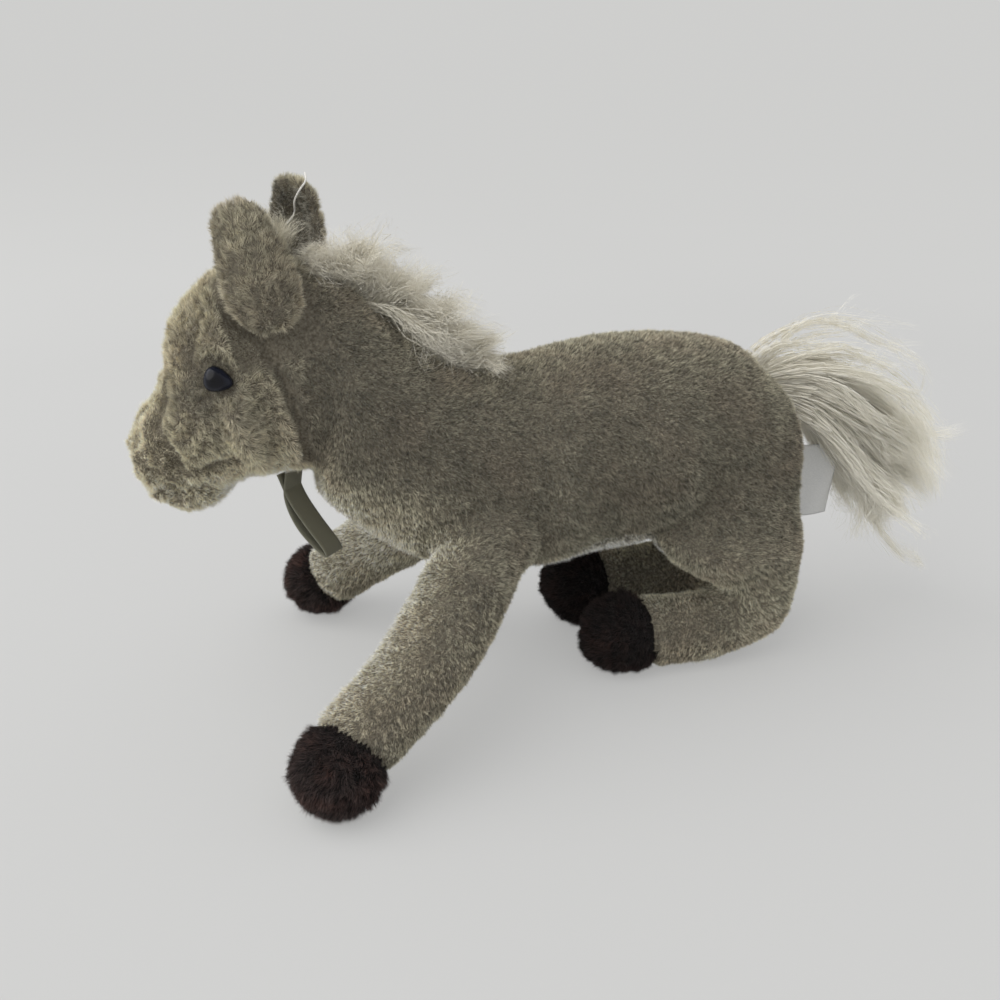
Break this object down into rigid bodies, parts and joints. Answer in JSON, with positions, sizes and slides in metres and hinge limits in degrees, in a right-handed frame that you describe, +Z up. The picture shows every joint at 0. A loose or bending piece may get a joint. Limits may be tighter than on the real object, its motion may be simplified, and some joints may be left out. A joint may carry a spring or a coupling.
{
  "type": "plush horse",
  "caption": "Stuffed plush foal kneeling on its hind shanks with forelegs stretched out; head, ears, limbs, tail, label and ribbon move at their seams.",
  "frame": {"origin": "on the floor under the middle of the whole toy's outline", "axes": "+X from nose to tail along the trunk, +Z up, +Y towards the animal's right side"},
  "size_m": [0.3492, 0.1828, 0.2069],
  "materials": {
    "plush": "short sheared plush pile",
    "belly_plush": "short sheared plush pile",
    "hoof_plush": "matted long plush pile",
    "hair": "long loose pile",
    "fibre": "loose polyester fibre",
    "eye": "polished",
    "washer": "moulded",
    "ribbon": "woven ribbon",
    "label": "satin tape",
    "thread": "spun cotton"
  },
  "bodies": {
    "trunk": {"trunk_skin": "plush", "belly_panel": "belly_plush", "trunk_filling": "fibre", "haunch_left_skin": "plush", "haunch_left_filling": "fibre", "haunch_right_skin": "plush", "haunch_right_filling": "fibre", "mane": "hair"},
    "head": {"head_skin": "plush", "head_filling": "fibre", "eye_left": "eye", "eye_right": "eye", "eye_washer_left": "washer", "eye_washer_right": "washer", "forelock": "hair"},
    "ear_left_body": {"ear_left": "plush", "ear_lining_left": "belly_plush"},
    "ear_right_body": {"ear_right": "plush", "ear_lining_right": "belly_plush", "loose_thread": "thread"},
    "foreleg_left_body": {"foreleg_left_skin": "plush", "foreleg_left_filling": "fibre", "foreleg_left_hoof": "hoof_plush"},
    "foreleg_right_body": {"foreleg_right_skin": "plush", "foreleg_right_filling": "fibre", "foreleg_right_hoof": "hoof_plush"},
    "hindleg_left_body": {"hindleg_left_skin": "plush", "hindleg_left_filling": "fibre", "hindleg_left_hoof": "hoof_plush"},
    "hindleg_right_body": {"hindleg_right_skin": "plush", "hindleg_right_filling": "fibre", "hindleg_right_hoof": "hoof_plush"},
    "tail_body": {"tail": "hair"},
    "label_body": {"care_label": "label"},
    "ribbon_body": {"ribbon": "ribbon"}
  },
  "joints": [
    {"name": "head_nod", "type": "hinge", "parent": "trunk", "child": "head", "pos_m": [-0.10819, 0.00545, 0.136], "axis": [0.2756, 0.9613, 0], "range_deg": [-4, 10], "stiffness_Nm_per_rad": 1.2},
    {"name": "ear_left_flex", "type": "hinge", "parent": "head", "child": "ear_left_body", "pos_m": [-0.11886, -0.02296, 0.15759], "axis": [-0.9706, -0.102, -0.2179], "range_deg": [-10, 10], "stiffness_Nm_per_rad": 0.02},
    {"name": "ear_right_flex", "type": "hinge", "parent": "head", "child": "ear_right_body", "pos_m": [-0.10552, 0.03291, 0.1616], "axis": [0.4059, -0.9117, -0.0629], "range_deg": [-10, 10], "stiffness_Nm_per_rad": 0.02},
    {"name": "foreleg_left_swing", "type": "hinge", "parent": "trunk", "child": "foreleg_left_body", "pos_m": [-0.04228, -0.01655, 0.072], "axis": [0, 1, 0], "range_deg": [-9, 9], "stiffness_Nm_per_rad": 1.5},
    {"name": "foreleg_right_swing", "type": "hinge", "parent": "trunk", "child": "foreleg_right_body", "pos_m": [-0.04228, 0.02745, 0.072], "axis": [0, 1, 0], "range_deg": [-9, 9], "stiffness_Nm_per_rad": 1.5},
    {"name": "hindleg_left_fold", "type": "hinge", "parent": "trunk", "child": "hindleg_left_body", "pos_m": [0.07585, -0.01855, 0.0225], "axis": [0, 1, 0], "range_deg": [-9, 9], "stiffness_Nm_per_rad": 1.2},
    {"name": "hindleg_right_fold", "type": "hinge", "parent": "trunk", "child": "hindleg_right_body", "pos_m": [0.07585, 0.02945, 0.0225], "axis": [0, 1, 0], "range_deg": [-9, 9], "stiffness_Nm_per_rad": 1.2},
    {"name": "tail_swing", "type": "hinge", "parent": "trunk", "child": "tail_body", "pos_m": [0.09982, 0.00545, 0.11104], "axis": [0, 0, 1], "range_deg": [-14, 14], "stiffness_Nm_per_rad": 0.02},
    {"name": "label_flap", "type": "hinge", "parent": "trunk", "child": "label_body", "pos_m": [0.10547, 0.00545, 0.08481], "axis": [0, 0, 1], "range_deg": [-18, 18], "stiffness_Nm_per_rad": 0.0004},
    {"name": "ribbon_swing", "type": "hinge", "parent": "head", "child": "ribbon_body", "pos_m": [-0.11407, 0.00714, 0.09755], "axis": [0.2756, 0.9613, 0], "range_deg": [-2, 18], "stiffness_Nm_per_rad": 0.0006}
  ]
}
